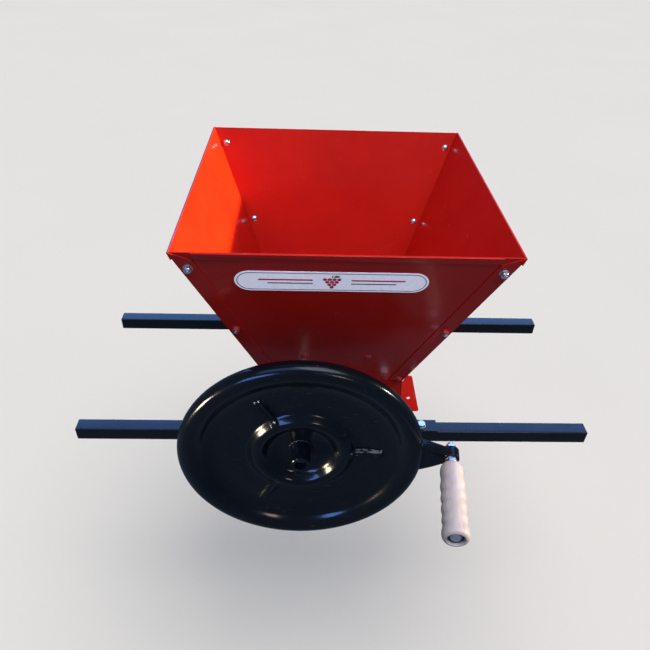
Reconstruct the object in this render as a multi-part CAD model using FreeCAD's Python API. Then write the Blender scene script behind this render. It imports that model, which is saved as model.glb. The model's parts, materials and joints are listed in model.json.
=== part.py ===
# Hand-cranked grape crusher: sheet-metal hopper over two geared rollers, carried on two square bars
# that lie across a vat, and turned by a pressed flywheel with a wooden crank grip.
# Frame: +Z up, +X along the bars, -Y towards the flywheel. The origin is midway between the bars,
# in the plane of their undersides. All sizes are in millimetres.
import FreeCAD, Part
import os, math
from FreeCAD import Vector as V

os.makedirs("parts", exist_ok=True)

# ---- bars and rails
BAR_LEN = 900.0        # bar length
BAR = 25.0             # square bar section
BAR_WALL = 1.5
BAR_Y = 159.0          # bar centre line from the middle
RAIL_HALF = 182.0      # half length of the angle rail on each bar
RAIL_T = 3.0
RAIL_BOLT_X = 154.0
# ---- roller housing
PLATE_T = 3.0          # end plate thickness
PLATE_Y = 125.0        # outer face of the end plates
WALL_TOP = (115.0, 104.0)  # inner face of the side plates: half width, height at the top
WALL_BOT = (119.0, 31.0)   # and at the bottom
SIDE_T = 2.0
EAR_TOP = (131.5, 117.0)   # outer edge of the side plates' flanges at the top
EAR_BOT = (154.0, 31.0)    # and at the bottom
EAR_HOLE = (131.0, 64.0)
EAR_HOLE_R = 3.5
# ---- hopper
SHEET = 1.5
RIM = 231.0            # half width of the square rim
RIM_Z = 418.0
NECK_X = 115.0         # half width of the hopper's neck, at the side plates
NECK_Y = 126.5         # and at the end plates
NECK_Z = 107.0
SKIRT_BOT = 98.0
FLANGE_W = 25.0        # side panels' flanges, over the front and rear panels
HEM_H = 10.0
HEM_T = 1.6
# ---- shafts, rollers and gears
XD, XN = -59.0, 49.0   # drive and driven shaft positions
ZA = 54.0              # shaft height
SHAFT_R = 10.0
ROLL_R = 51.0
ROLL_HALF = 100.0
FLUTES = 14
MODULE = 4.0
TEETH = 27
GEAR_Y0, GEAR_Y1 = 178.0, 192.0
BUSH_GAP = 0.05
# ---- flywheel and crank
YW = -248.0            # flywheel mid plane
WHEEL_R = 198.0
WHEEL_T = 3.0
HUB_R = 16.0
CRANK_R = 246.0        # crank pin from the axle
GRIP_LEAN = 8.0        # degrees, the pin leans in towards the axle
GRIP_L = 138.0
GRIP_R = 20.0

def save(name, *shapes):
    solids = []
    for s in shapes:
        solids += s.Solids
    sh = solids[0] if len(solids) == 1 else Part.makeCompound(solids)
    for s in solids:
        if not s.isValid():
            print("INVALID", name)
    sh.exportStep("parts/%s.step" % name)

def box(x0, x1, y0, y1, z0, z1):
    return Part.makeBox(x1 - x0, y1 - y0, z1 - z0, V(x0, y0, z0))

def cyl(p, d, r, h):
    return Part.makeCylinder(r, h, V(*p), V(*d))

def poly(pts):
    return Part.Face(Part.makePolygon([V(*p) for p in pts] + [V(*pts[0])]))

def prism(pts, vec):
    return poly(pts).extrude(V(*vec))

def hexagon(p, d, af, h):
    # hexagonal prism, af across flats, from p along d
    d = V(*d); d.normalize()
    a = V(0, 0, 1) if abs(d.z) < 0.9 else V(1, 0, 0)
    u = d.cross(a); u.normalize(); w = d.cross(u)
    r = af / math.sqrt(3)
    pts = [V(*p) + u * (r * math.cos(k * math.pi / 3)) + w * (r * math.sin(k * math.pi / 3)) for k in range(6)]
    s = Part.Face(Part.makePolygon(pts + [pts[0]])).extrude(d * h)
    cone = Part.makeCone(r * 1.0, r * 0.86, h * 0.30, V(*p) + d * (h * 0.70), d)
    body = Part.makeCylinder(r * 1.001, h * 0.70, V(*p), d).fuse(cone)
    return s.common(body)

def screw(p, d, r, grip, head_af, head_h, washer=True, tail=0.0):
    # bolt: head at p on the face, shank running against d; d is the way the head points
    d = V(*d); d.normalize(); p = V(*p)
    parts = [Part.makeCylinder(r, grip, p - d * grip, d), hexagon(p + d * (1.2 if washer else 0.0), d, head_af, head_h)]
    if washer:
        parts.append(Part.makeCylinder(head_af * 0.62, 1.2, p, d))
    s = parts[0]
    for q in parts[1:]:
        s = s.fuse(q)
    return s.removeSplitter()

def nut(p, d, r, af, h):
    d = V(*d); d.normalize()
    return hexagon(p, d, af, h).cut(Part.makeCylinder(r, h * 1.4, V(*p) - d * (h * 0.2), d))

def mirror_y(s):
    return s.mirror(V(0, 0, 0), V(0, 1, 0))

def mirror_x(s):
    return s.mirror(V(0, 0, 0), V(1, 0, 0))

# =================================================== bars, plugs, rails
def bar(y):
    o = box(-BAR_LEN / 2, BAR_LEN / 2, y - BAR / 2, y + BAR / 2, 0, BAR)
    o = o.makeFillet(2.0, [e for e in o.Edges if abs(e.Vertexes[0].X - e.Vertexes[-1].X) > 100])
    i = box(-BAR_LEN / 2 - 1, BAR_LEN / 2 + 1, y - BAR / 2 + BAR_WALL, y + BAR / 2 - BAR_WALL, BAR_WALL, BAR - BAR_WALL)
    b = o.cut(i)
    for x in (-RAIL_BOLT_X, RAIL_BOLT_X, -95.0, 95.0):
        b = b.cut(cyl((x, y, BAR - 4), (0, 0, 1), 5.5, 8))
    return b

save("front_bar", bar(-BAR_Y))
save("rear_bar", bar(BAR_Y))

def plug(sx, y):
    x = sx * BAR_LEN / 2
    h = BAR / 2 - BAR_WALL
    inner = box(min(x, x - sx * 14), max(x, x - sx * 14), y - h, y + h, BAR_WALL, BAR - BAR_WALL)
    core = box(min(x - sx * 3, x - sx * 15), max(x - sx * 3, x - sx * 15), y - h + 2, y + h - 2, BAR_WALL + 2, BAR - BAR_WALL - 2)
    cap = box(min(x, x + sx * 2.5), max(x, x + sx * 2.5), y - BAR / 2 + 0.5, y + BAR / 2 - 0.5, 0.5, BAR - 0.5)
    edges = [e for e in cap.Edges if abs(e.Vertexes[0].X - (x + sx * 2.5)) < 1e-6 and abs(e.Vertexes[-1].X - (x + sx * 2.5)) < 1e-6]
    cap = cap.makeFillet(1.5, edges)
    return inner.cut(core).fuse(cap).removeSplitter()

save("bar_end_plugs", *[plug(sx, y) for sx in (-1, 1) for y in (-BAR_Y, BAR_Y)])

def rail_front():
    y0 = -BAR_Y - BAR / 2
    yi = -BAR_Y + BAR / 2
    a = box(-RAIL_HALF, RAIL_HALF, y0, yi + RAIL_T, BAR, BAR + RAIL_T)
    b = box(-RAIL_HALF, RAIL_HALF, yi, yi + RAIL_T, 0.5, BAR + RAIL_T)
    s = a.fuse(b).removeSplitter()
    e = [e for e in s.Edges if abs(e.Vertexes[0].X - e.Vertexes[-1].X) > 100
         and abs(e.Vertexes[0].Y - (yi + RAIL_T)) < 1e-6 and abs(e.Vertexes[0].Z - (BAR + RAIL_T)) < 1e-6]
    s = s.makeFillet(2.5, e)
    for x in (-RAIL_BOLT_X, RAIL_BOLT_X, -95.0, 95.0):
        s = s.cut(cyl((x, -BAR_Y, BAR - 2), (0, 0, 1), 4.3, 10))
    return s

RF = rail_front()
save("front_rail", RF)
save("rear_rail", mirror_y(RF))

RAIL_TOP = BAR + RAIL_T
FOOT_TOP = RAIL_TOP + PLATE_T
rb, fb, rn = [], [], []
for y in (-BAR_Y, BAR_Y):
    for x in (-RAIL_BOLT_X, RAIL_BOLT_X):
        rb.append(screw((x, y, RAIL_TOP), (0, 0, 1), 4.0, 14.0, 13.0, 5.3))
    for x in (-95.0, 95.0):
        fb.append(screw((x, y, FOOT_TOP), (0, 0, 1), 4.0, 17.0, 13.0, 5.3))
    for x in (-RAIL_BOLT_X, RAIL_BOLT_X, -95.0, 95.0):
        # rivet nut in the bar's top wall
        n = cyl((x, y, BAR), (0, 0, -1), 5.5, 13).fuse(cyl((x, y, BAR - BAR_WALL), (0, 0, -1), 7.0, 3.0))
        rn.append(n.cut(cyl((x, y, BAR + 1), (0, 0, -1), 4.0, 20)))
save("rail_bolts", *rb)
save("housing_foot_bolts", *fb)
save("rivet_nuts", *rn)

# =================================================== roller housing
def wall_x(z):
    # inner face of the side plate at height z
    return WALL_TOP[0] + (WALL_TOP[1] - z) * (WALL_BOT[0] - WALL_TOP[0]) / (WALL_TOP[1] - WALL_BOT[1])

WALL_N = V(WALL_TOP[1] - WALL_BOT[1], 0, WALL_BOT[0] - WALL_TOP[0]); WALL_N.normalize()
WALL_BOLTS = (80.0, 48.0)
WALL_BOLT_Y = 112.5
LIP_Z = 131.0
NECK_BOLTS = ((-107.0, 116.0), (-82.0, 121.0), (0.0, 121.0), (82.0, 121.0), (107.0, 116.0))

def end_plate():
    # front plate; its foot turns out over the rail, its lip follows the hopper's slope, its edges turn back along the side plates
    yo, yi = -PLATE_Y, -PLATE_Y + PLATE_T
    fw = 110.0
    g = 0.05
    pts = [(-wall_x(RAIL_TOP) + g, yo, RAIL_TOP), (wall_x(RAIL_TOP) - g, yo, RAIL_TOP), (WALL_TOP[0] - g, yo, WALL_TOP[1]), (-WALL_TOP[0] + g, yo, WALL_TOP[1])]
    s = prism(pts, (0, PLATE_T, 0))
    # sloped lip behind the hopper panel
    def lp(z, off):
        return fp(0, tz(z), -SHEET - 0.05 - off)
    a1 = lp(LIP_Z, 0)
    b0, b1 = lp(108.5, 2.5), lp(LIP_Z, 2.5)
    prof = [V(0, yo, WALL_TOP[1] - 1), V(0, yo, 107.3), V(0, a1.y, a1.z), V(0, b1.y, b1.z), V(0, b0.y, b0.z), V(0, yi, 107.5), V(0, yi, WALL_TOP[1] - 1)]
    lip = Part.Face(Part.makePolygon(prof + [prof[0]]))
    lip.translate(V(-125, 0, 0))
    lip = lip.extrude(V(250, 0, 0))
    ix = NECK_X - 2.4
    tx = ix + (LIP_Z + 4 - NECK_Z) * (RIM - NECK_X) / (RIM_Z - NECK_Z)
    keep = prism([(-ix, -200, 90.0), (ix, -200, 90.0), (ix, -200, NECK_Z), (tx, -200, LIP_Z + 4), (-tx, -200, LIP_Z + 4), (-ix, -200, NECK_Z)], (0, 400, 0))
    s = s.fuse(lip.common(keep))
    foot = box(-fw, fw, -BAR_Y - 9.0, yo + 0.01, RAIL_TOP, FOOT_TOP)
    s = s.fuse(foot)
    for sx in (-1, 1):
        x0, x1 = wall_x(34.0) - g, wall_x(90.0) - g
        t = 2.0
        pts = [(sx * x0, yi - 0.5, 34.0), (sx * x1, yi - 0.5, 90.0), (sx * (x1 - t), yi - 0.5, 90.0), (sx * (x0 - t), yi - 0.5, 34.0)]
        s = s.fuse(prism(pts, (0, 18.5, 0)))
    s = s.removeSplitter()
    for x in (XD, XN):
        s = s.cut(cyl((x, yo - 5, ZA), (0, 1, 0), 13.0, 12))
        for k in range(3):
            a = math.radians(90 + 120 * k)
            s = s.cut(cyl((x + 17 * math.cos(a), yo - 5, ZA + 17 * math.sin(a)), (0, 1, 0), 2.6, 12))
    for sx in (-1, 1):
        s = s.cut(cyl((sx * 95.0, -BAR_Y, RAIL_TOP - 2), (0, 0, 1), 4.3, 10))
        for z in WALL_BOLTS:
            n = V(sx * WALL_N.x, 0, WALL_N.z)
            s = s.cut(Part.makeCylinder(3.2, 12, V(sx * wall_x(z), -WALL_BOLT_Y, z) - n * 8, n))
    for x, z in NECK_BOLTS:
        s = s.cut(Part.makeCylinder(3.2, 14, fp(x, tz(z), 4), FRONT_N * -1))
    return s

def side_plate():
    # right side plate, with flanges turned out at the front and rear
    g = PLATE_Y
    pts = [(WALL_TOP[0], -g - SIDE_T, WALL_TOP[1]), (WALL_BOT[0], -g - SIDE_T, WALL_BOT[1]), (WALL_BOT[0] + SIDE_T, -g - SIDE_T, WALL_BOT[1]), (WALL_TOP[0] + SIDE_T, -g - SIDE_T, WALL_TOP[1])]
    parts = prism(pts, (0, 2 * (g + SIDE_T), 0))
    w0, z0 = EAR_BOT
    w1, z1 = EAR_TOP
    for s in (-1, 1):
        y = s * g
        pts = [(WALL_BOT[0], y, z0), (w0, y, z0), (w1, y, z1), (WALL_TOP[0] + 7.0, y, z1), (WALL_TOP[0] + SIDE_T + 0.6, y, WALL_TOP[1]), (WALL_TOP[0], y, WALL_TOP[1])]
        fl = prism(pts, (0, s * SIDE_T, 0))
        fl = fl.makeFillet(4.0, [e for e in fl.Edges if abs(e.Vertexes[0].Y - e.Vertexes[-1].Y) > 1 and (abs(e.Vertexes[0].X - w0) < 0.01 or abs(e.Vertexes[0].X - w1) < 0.01)])
        parts = parts.fuse(fl)
    parts = parts.removeSplitter()
    parts = parts.cut(cyl((EAR_HOLE[0], -200, EAR_HOLE[1]), (0, 1, 0), EAR_HOLE_R, 400))
    parts = parts.cut(cyl((STUD_X, 100, STUD_Z), (0, 1, 0), 3.2, 100))
    for sy in (-1, 1):
        for z in WALL_BOLTS:
            parts = parts.cut(Part.makeCylinder(3.2, 12, V(wall_x(z), sy * WALL_BOLT_Y, z) - WALL_N * 4, WALL_N))
    return parts

# =================================================== hopper
# The panels' outer surfaces run from the neck to the rim.
def fp(x, t, off=0.0):
    # point on the front panel's outer plane at height fraction t, moved out by off
    n = FRONT_N
    y = -(NECK_Y + (RIM - NECK_Y) * t)
    z = NECK_Z + (RIM_Z - NECK_Z) * t
    return V(x, y, z) + n * off

dyf, dz = RIM - NECK_Y, RIM_Z - NECK_Z
FRONT_N = V(0, -dz, -dyf); FRONT_N.normalize()
dxs = RIM - NECK_X
SIDE_N = V(dz, 0, -dxs); SIDE_N.normalize()

def tz(z):
    return (z - NECK_Z) / (RIM_Z - NECK_Z)

def edge_x(t):
    # half width of the front panel at height fraction t
    return NECK_X + (RIM - NECK_X) * t

def sp(y, t, off=0.0):
    x = NECK_X + (RIM - NECK_X) * t
    return V(x, y, NECK_Z + (RIM_Z - NECK_Z) * t) + SIDE_N * off

def edge_y(t):
    return NECK_Y + (RIM - NECK_Y) * t

def vface(pts, vec):
    return Part.Face(Part.makePolygon(list(pts) + [pts[0]])).extrude(vec)

CORNER_BOLTS = (392.0, 257.0)
DEFL_X = (-55.0, 47.0)
DEFL_Z = 181.0
STUD_X, STUD_Z = 125.5, 84.0

EP = end_plate()
save("front_end_plate", EP)
save("rear_end_plate", mirror_y(EP))
SP = side_plate()
save("right_side_plate", SP)
save("left_side_plate", mirror_x(SP))

wb, wn = [], []
for sy in (-1, 1):
    for sx in (-1, 1):
        for z in WALL_BOLTS:
            n = V(sx * WALL_N.x, 0, WALL_N.z)
            p = V(sx * wall_x(z), sy * WALL_BOLT_Y, z)
            wb.append(screw(p + n * SIDE_T, n, 3.0, 12.0, 10.0, 4.0))
            wn.append(nut(p - n * 2.1, n * -1, 3.0, 10.0, 5.0))
save("side_plate_bolts", *wb)
save("side_plate_nuts", *wn)

def front_panel():
    g = SHEET * 1.08 + 0.15
    w0, w1 = edge_x(0) - g, edge_x(1) - g
    s = vface([fp(-w0, 0), fp(w0, 0), fp(w1, 1), fp(-w1, 1)], FRONT_N * -SHEET)
    skirt = box(-w0 - 0.0, w0, -NECK_Y, -NECK_Y + SHEET, SKIRT_BOT, NECK_Z + 0.3)
    s = s.fuse(skirt).removeSplitter()
    # hem folded out along the rim
    th = 1 - HEM_H / dz * 1.05
    hem = vface([fp(-w1 + 27, th), fp(w1 - 27, th), fp(w1 - 27, 1), fp(-w1 + 27, 1)], FRONT_N * HEM_T)
    e = [e for e in hem.Edges if e.Length > 300]
    hem = hem.makeFillet(0.6, [q for q in e if abs((q.Vertexes[0].Point - fp(q.Vertexes[0].X, 1, HEM_T)).Length) < 0.2])
    s = s.fuse(hem)
    for sx in (-1, 1):
        for z in CORNER_BOLTS:
            t = tz(z); x = sx * (edge_x(t) - 12.5)
            s = s.cut(Part.makeCylinder(3.2, 12, fp(x, t, 6), FRONT_N * -1))
    for x, z in NECK_BOLTS:
        s = s.cut(Part.makeCylinder(3.2, 14, fp(x, tz(z), 6), FRONT_N * -1))
    for x in DEFL_X:
        s = s.cut(Part.makeCylinder(3.2, 12, fp(x, tz(DEFL_Z), 6), FRONT_N * -1))
    return s

FPAN = front_panel()
save("hopper_front_panel", FPAN)
save("hopper_rear_panel", mirror_y(FPAN))

def side_panel():
    # right panel; its flanges wrap round the outside of the front and rear panels
    e0, e1 = edge_y(0) + SHEET, edge_y(1) + SHEET
    s = vface([sp(-e0 , 0), sp(e0, 0), sp(e1, 1), sp(-e1, 1)], SIDE_N * -SHEET)
    # skirt down inside the side plate
    s = s.fuse(box(NECK_X - SHEET, NECK_X, -118.0, 118.0, SKIRT_BOT - 6.0, NECK_Z + 0.3))
    for sy in (-1, 1):
        def q(x, t, off):
            p = fp(x, t, off)
            return p if sy < 0 else V(p.x, -p.y, p.z)
        n = FRONT_N if sy < 0 else V(FRONT_N.x, -FRONT_N.y, FRONT_N.z)
        t1 = 1 - 12.0 / dz
        tb = tz(NECK_Z + 2.0)
        pts = [q(edge_x(tb), tb, 0.05), q(edge_x(1), 1, 0.05), q(edge_x(1) - 4.0, 1 - 1.2 / dz, 0.05), q(edge_x(t1) - FLANGE_W, t1, 0.05), q(edge_x(tb) - FLANGE_W, tb, 0.05)]
        s = s.fuse(vface(pts, n * SHEET))
    s = s.removeSplitter()
    # hem along the side rim
    th = 1 - HEM_H / dz * 1.05
    hem = vface([sp(-e1 + 1.5, th), sp(e1 - 1.5, th), sp(e1 - 1.5, 1), sp(-e1 + 1.5, 1)], SIDE_N * HEM_T)
    s = s.fuse(hem)
    for sy in (-1, 1):
        for z in CORNER_BOLTS:
            t = tz(z); x = edge_x(t) - 12.5
            p = fp(x, t, 6); n = V(FRONT_N)
            if sy > 0:
                p = V(p.x, -p.y, p.z); n = V(n.x, -n.y, n.z)
            s = s.cut(Part.makeCylinder(3.2, 12, p, n * -1))
        x, z = NECK_BOLTS[-1]
        p = fp(x, tz(z), 6)
        if sy > 0:
            p = V(p.x, -p.y, p.z)
        s = s.cut(Part.makeCylinder(3.2, 14, p, n * -1))
    return s

SPAN = side_panel()
save("hopper_right_panel", SPAN)
save("hopper_left_panel", mirror_x(SPAN))

def dome_bolt(p, n, r, grip, head_r, head_h):
    # round-headed bolt, head at p pointing along n
    R = (head_r ** 2 + head_h ** 2) / (2 * head_h)
    sph = Part.makeSphere(R, p - n * (R - head_h)).common(Part.makeCylinder(head_r + 1, head_h + 1, p, n))
    return sph.fuse(Part.makeCylinder(r, grip, p - n * grip, n)).removeSplitter()

cb, cn, db, dn = [], [], [], []
for sy in (-1, 1):
    n = V(0, -sy * FRONT_N.y, FRONT_N.z) if sy > 0 else V(FRONT_N)
    if sy > 0:
        n = V(0, -FRONT_N.y, FRONT_N.z)
    def Q(x, t, off):
        p = fp(x, t, off)
        return p if sy < 0 else V(p.x, -p.y, p.z)
    for sx in (-1, 1):
        for z in CORNER_BOLTS:
            t = tz(z); x = sx * (edge_x(t) - 12.5)
            # bolt head inside the hopper, nut on the flange outside
            cb.append(dome_bolt(Q(x, t, -SHEET), n * -1, 3.0, 11.5, 6.3, 3.4))
            po = Q(x, t, 0.05 + SHEET)
            ring = Part.makeCylinder(6.6, 1.2, po, n).cut(Part.makeCylinder(3.0, 4, po - n * 1, n))
            cn.append(ring.fuse(nut(po + n * 1.2, n, 3.0, 10.0, 5.0)).removeSplitter())
    for x in DEFL_X:
        t = tz(DEFL_Z)
        db.append(dome_bolt(Q(x, t, 0), n, 3.0, 11.0, 6.5, 3.6))
        dn.append(nut(Q(x, t, -SHEET - 1.55), n * -1, 3.0, 10.0, 5.0))
save("hopper_corner_bolts", *cb)
save("hopper_corner_nuts", *cn)
save("deflector_bolts", *db)
save("deflector_nuts", *dn)

nb, nn = [], []
for sy in (-1, 1):
    n = V(0, FRONT_N.y * -sy, FRONT_N.z)
    for x, z in NECK_BOLTS:
        o = SHEET + 0.05 if abs(x) > 90 else 0.0
        p, q = fp(x, tz(z), o), fp(x, tz(z), -SHEET - 0.1 - 2.6)
        p, q = V(x, -sy * p.y, p.z), V(x, -sy * q.y, q.z)
        nb.append(dome_bolt(p, n, 3.0, 13.0 + o, 6.5, 3.8))
        nn.append(nut(q, n * -1, 3.0, 10.0, 5.0))
save("neck_bolts", *nb)
save("neck_nuts", *nn)

def end_deflector():
    # bent sheet that carries fruit off the neck's end wall on to the rollers
    n = FRONT_N * -1
    g = SHEET + 0.02
    def ip(x, t, off=0.0):
        return fp(x, t, -g - off)
    ta, tb = tz(189.0), tz(166.0)
    wa, wb = edge_x(ta) - 8.0, edge_x(tb) - 8.0
    up = vface([ip(-wb, tb), ip(wb, tb), ip(wa, ta), ip(-wa, ta)], n * SHEET)
    p = ip(0, tb)
    low = V(0, -ROLL_HALF - 3.0, 108.0)
    d = low - p; L = d.Length; d.normalize()
    nn_ = V(0, -d.z, d.y)
    if nn_.z < 0:
        nn_ = nn_ * -1
    wl = 103.5
    a, b = V(-wb, p.y, p.z), V(wb, p.y, p.z)
    c, e = V(wl, low.y, low.z), V(-wl, low.y, low.z)
    dn_ = vface([a, b, c, e], nn_ * SHEET)
    s = up.fuse(dn_).removeSplitter()
    for x in DEFL_X:
        s = s.cut(Part.makeCylinder(3.2, 12, fp(x, tz(DEFL_Z), 6), FRONT_N * -1))
    return s

ED = end_deflector()
save("front_end_deflector", ED)
save("rear_end_deflector", mirror_y(ED))

# name plate: plain rounded band on the front panel
def band(cx, cz, w, h, th):
    t = tz(cz)
    u = V(1, 0, 0)
    up = fp(0, 1) - fp(0, 0); up.normalize()
    c = fp(cx, t, 0.02)
    r = h / 2
    p1, p2 = c - u * (w / 2 - r), c + u * (w / 2 - r)
    w_ = Part.Wire([Part.LineSegment(p1 + up * r, p2 + up * r).toShape(),
                    Part.Arc(p2 + up * r, p2 + u * r, p2 - up * r).toShape(),
                    Part.LineSegment(p2 - up * r, p1 - up * r).toShape(),
                    Part.Arc(p1 - up * r, p1 - u * r, p1 + up * r).toShape()])
    return Part.Face(w_).extrude(FRONT_N * th)
save("name_plate", band(-19.0, 366.5, 264.0, 42.0, 0.6))

# =================================================== bushes
def bush(x, sy):
    yo = sy * PLATE_Y
    d = (0, sy, 0)
    f = cyl((x, yo, ZA), d, 21.0, 5.0)
    f = f.makeChamfer(1.0, [e for e in f.Edges if e.Closed and abs(e.CenterOfMass.y - (yo + sy * 5.0)) < 0.1])
    nose = cyl((x, yo + sy * 5.0, ZA), d, 12.4, 3.0)
    barrel = cyl((x, yo, ZA), (0, -sy, 0), 12.95, 11.0)
    s = f.fuse(nose).fuse(barrel).removeSplitter()
    s = s.cut(cyl((x, yo - sy * 20, ZA), d, SHAFT_R + BUSH_GAP, 40))
    for k in range(3):
        a = math.radians(90 + 120 * k)
        s = s.cut(cyl((x + 17 * math.cos(a), yo - sy * 1, ZA + 17 * math.sin(a)), d, 2.6, 8))
    return s
for nm, x, sy in (("drive_shaft_front_bush", XD, -1), ("driven_shaft_front_bush", XN, -1), ("drive_shaft_rear_bush", XD, 1), ("driven_shaft_rear_bush", XN, 1)):
    save(nm, bush(x, sy))
bs, bn = [], []
for x in (XD, XN):
    for sy in (-1, 1):
        for k in range(3):
            a = math.radians(90 + 120 * k)
            p = (x + 17 * math.cos(a), sy * (PLATE_Y + 5.0), ZA + 17 * math.sin(a))
            bs.append(screw(p, (0, sy, 0), 2.5, 13.0, 8.0, 3.2, washer=False))
            q = (p[0], sy * (PLATE_Y - PLATE_T), p[2])
            bn.append(nut(q, (0, -sy, 0), 2.5, 8.0, 4.0))
save("bush_screws", *bs)
save("bush_nuts", *bn)

# =================================================== shafts and rollers
def shaft(x, y0, y1):
    s = cyl((x, y0, ZA), (0, 1, 0), SHAFT_R, y1 - y0)
    return s.makeChamfer(1.0, [e for e in s.Edges if e.Closed and e.Length > 50 and len(e.Vertexes) == 1 and (abs(e.CenterOfMass.y - y0) < 0.1 or abs(e.CenterOfMass.y - y1) < 0.1)])
SD = shaft(XD, -259.0, 194.0)
SN = shaft(XN, -136.0, 194.0)

def roller(x, phase):
    # fluted roller: rounded lobes round the body
    N = FLUTES
    pts = []
    body = cyl((x, -ROLL_HALF, ZA), (0, 1, 0), ROLL_R, 2 * ROLL_HALF)
    body = body.makeChamfer(1.5, [e for e in body.Edges if e.Closed and abs(abs(e.CenterOfMass.y) - ROLL_HALF) < 0.1])
    cuts = None
    for k in range(N):
        a = phase + 2 * math.pi * k / N
        c = (x + (ROLL_R + 2.0) * math.cos(a), -ROLL_HALF - 1, ZA + (ROLL_R + 2.0) * math.sin(a))
        q = cyl(c, (0, 1, 0), 8.0, 2 * ROLL_HALF + 2)
        body = body.cut(q)
    # end recesses leave a hub and a rim
    for s in (-1, 1):
        ring = cyl((x, s * ROLL_HALF, ZA), (0, -s, 0), 36.0, 12.0).cut(cyl((x, s * (ROLL_HALF + 1), ZA), (0, -s, 0), 18.0, 16.0))
        body = body.cut(ring)
    return body.cut(cyl((x, -ROLL_HALF - 5, ZA), (0, 1, 0), SHAFT_R, 2 * ROLL_HALF + 10))

RD = roller(XD, 0.0)
# a lobe of one faces a flute of the other
RN = roller(XN, math.pi + math.pi / FLUTES)

# cross pins through the rollers' hubs
def pin(x, y, r, half):
    return cyl((x, y, ZA - half), (0, 0, 1), r, 2 * half)
for nm, rol, sh, x in (("drive", RD, SD, XD), ("driven", RN, SN, XN)):
    pins = [pin(x, y, 3.0, 17.5) for y in (-94.0, 94.0)]
    for p_ in pins:
        rol = rol.cut(p_)
        sh = sh.cut(p_)
    if nm == "drive":
        RD, SD = rol, sh
    else:
        RN, SN = rol, sh
    save(nm + "_roller_pins", *pins)

# =================================================== gears
def gear(x, phase):
    z, m = TEETH, MODULE
    rp = m * z / 2.0; ra = rp + 0.92 * m; rf = rp - 1.25 * m
    pa = math.radians(20); rb = rp * math.cos(pa)
    inv = math.tan(pa) - pa
    # backlash by thinning the tooth a little
    half = math.pi / (2 * z) - 0.0022
    def flank(r):
        a = math.acos(min(1.0, rb / r))
        return half + inv - (math.tan(a) - a)
    pts = []
    rs = [max(rb, rf + 0.4) + (ra - max(rb, rf + 0.4)) * k / 5.0 for k in range(6)]
    for k in range(z):
        c = phase + 2 * math.pi * k / z
        step = math.pi / z
        left = [(r, c - flank(r)) for r in rs]
        right = [(r, c + flank(r)) for r in reversed(rs)]
        seq = [(rf, c - step + 0.004), (rf, c - flank(rs[0]) - 0.012)] + left + right + [(rf, c + flank(rs[0]) + 0.012)]
        for r, a in seq:
            pts.append(V(x + r * math.cos(a), GEAR_Y0, ZA + r * math.sin(a)))
    f = Part.Face(Part.makePolygon(pts + [pts[0]]))
    g = f.extrude(V(0, GEAR_Y1 - GEAR_Y0, 0))
    hub = cyl((x, GEAR_Y0 - 2.0, ZA), (0, 1, 0), 18.0, GEAR_Y1 - GEAR_Y0 + 1.0)
    rec = cyl((x, GEAR_Y1 + 1, ZA), (0, -1, 0), 40.0, 4.0).cut(cyl((x, GEAR_Y1 + 2, ZA), (0, -1, 0), 18.0, 8.0))
    g = g.fuse(hub).cut(rec)
    return g.cut(cyl((x, GEAR_Y0 - 5, ZA), (0, 1, 0), SHAFT_R, 40))

GD = gear(XD, 0.0)
GN = gear(XN, math.pi + math.pi / TEETH)
# keys
def key(x):
    return box(x - 3.0, x + 3.0, GEAR_Y0 - 2.0, GEAR_Y1 - 1.0, ZA + 7.0, ZA + 12.0)
KD, KN = key(XD), key(XN)
GD, GN = GD.cut(KD), GN.cut(KN)
SD, SN = SD.cut(KD), SN.cut(KN)
save("drive_gear_key", KD)
save("driven_gear_key", KN)
save("drive_gear", GD)
save("driven_gear", GN)

# shaft collars beside the bushes, each with a grub screw
def collar(x, y0, y1):
    s = cyl((x, y0, ZA), (0, 1, 0), 16.0, y1 - y0)
    s = s.makeChamfer(0.8, [e for e in s.Edges if e.Closed])
    s = s.cut(cyl((x, y0 - 1, ZA), (0, 1, 0), SHAFT_R, y1 - y0 + 2))
    return s.cut(cyl((x, (y0 + y1) / 2, ZA + 5), (0, 0, 1), 3.0, 20))
def grub(x, y):
    s = cyl((x, y, ZA + SHAFT_R), (0, 0, 1), 3.0, 5.0)
    return s.cut(hexagon((x, y, ZA + SHAFT_R + 2.5), (0, 0, 1), 3.0, 4.0))
CF, CR = (-PLATE_Y - 8.4 - 10.0, -PLATE_Y - 8.4), (PLATE_Y + 8.4, PLATE_Y + 18.4)
save("drive_shaft_collar", collar(XD, *CF))
save("driven_shaft_collar", collar(XN, *CR))
save("drive_collar_screw", grub(XD, sum(CF) / 2))
save("driven_collar_screw", grub(XN, sum(CR) / 2))

# =================================================== gear guard
def stadium(r, y0, y1):
    a = cyl((XD, y0, ZA), (0, 1, 0), r, y1 - y0)
    b = cyl((XN, y0, ZA), (0, 1, 0), r, y1 - y0)
    return a.fuse(b).fuse(box(XD, XN, y0, y1, ZA - r, ZA + r)).removeSplitter()

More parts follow.
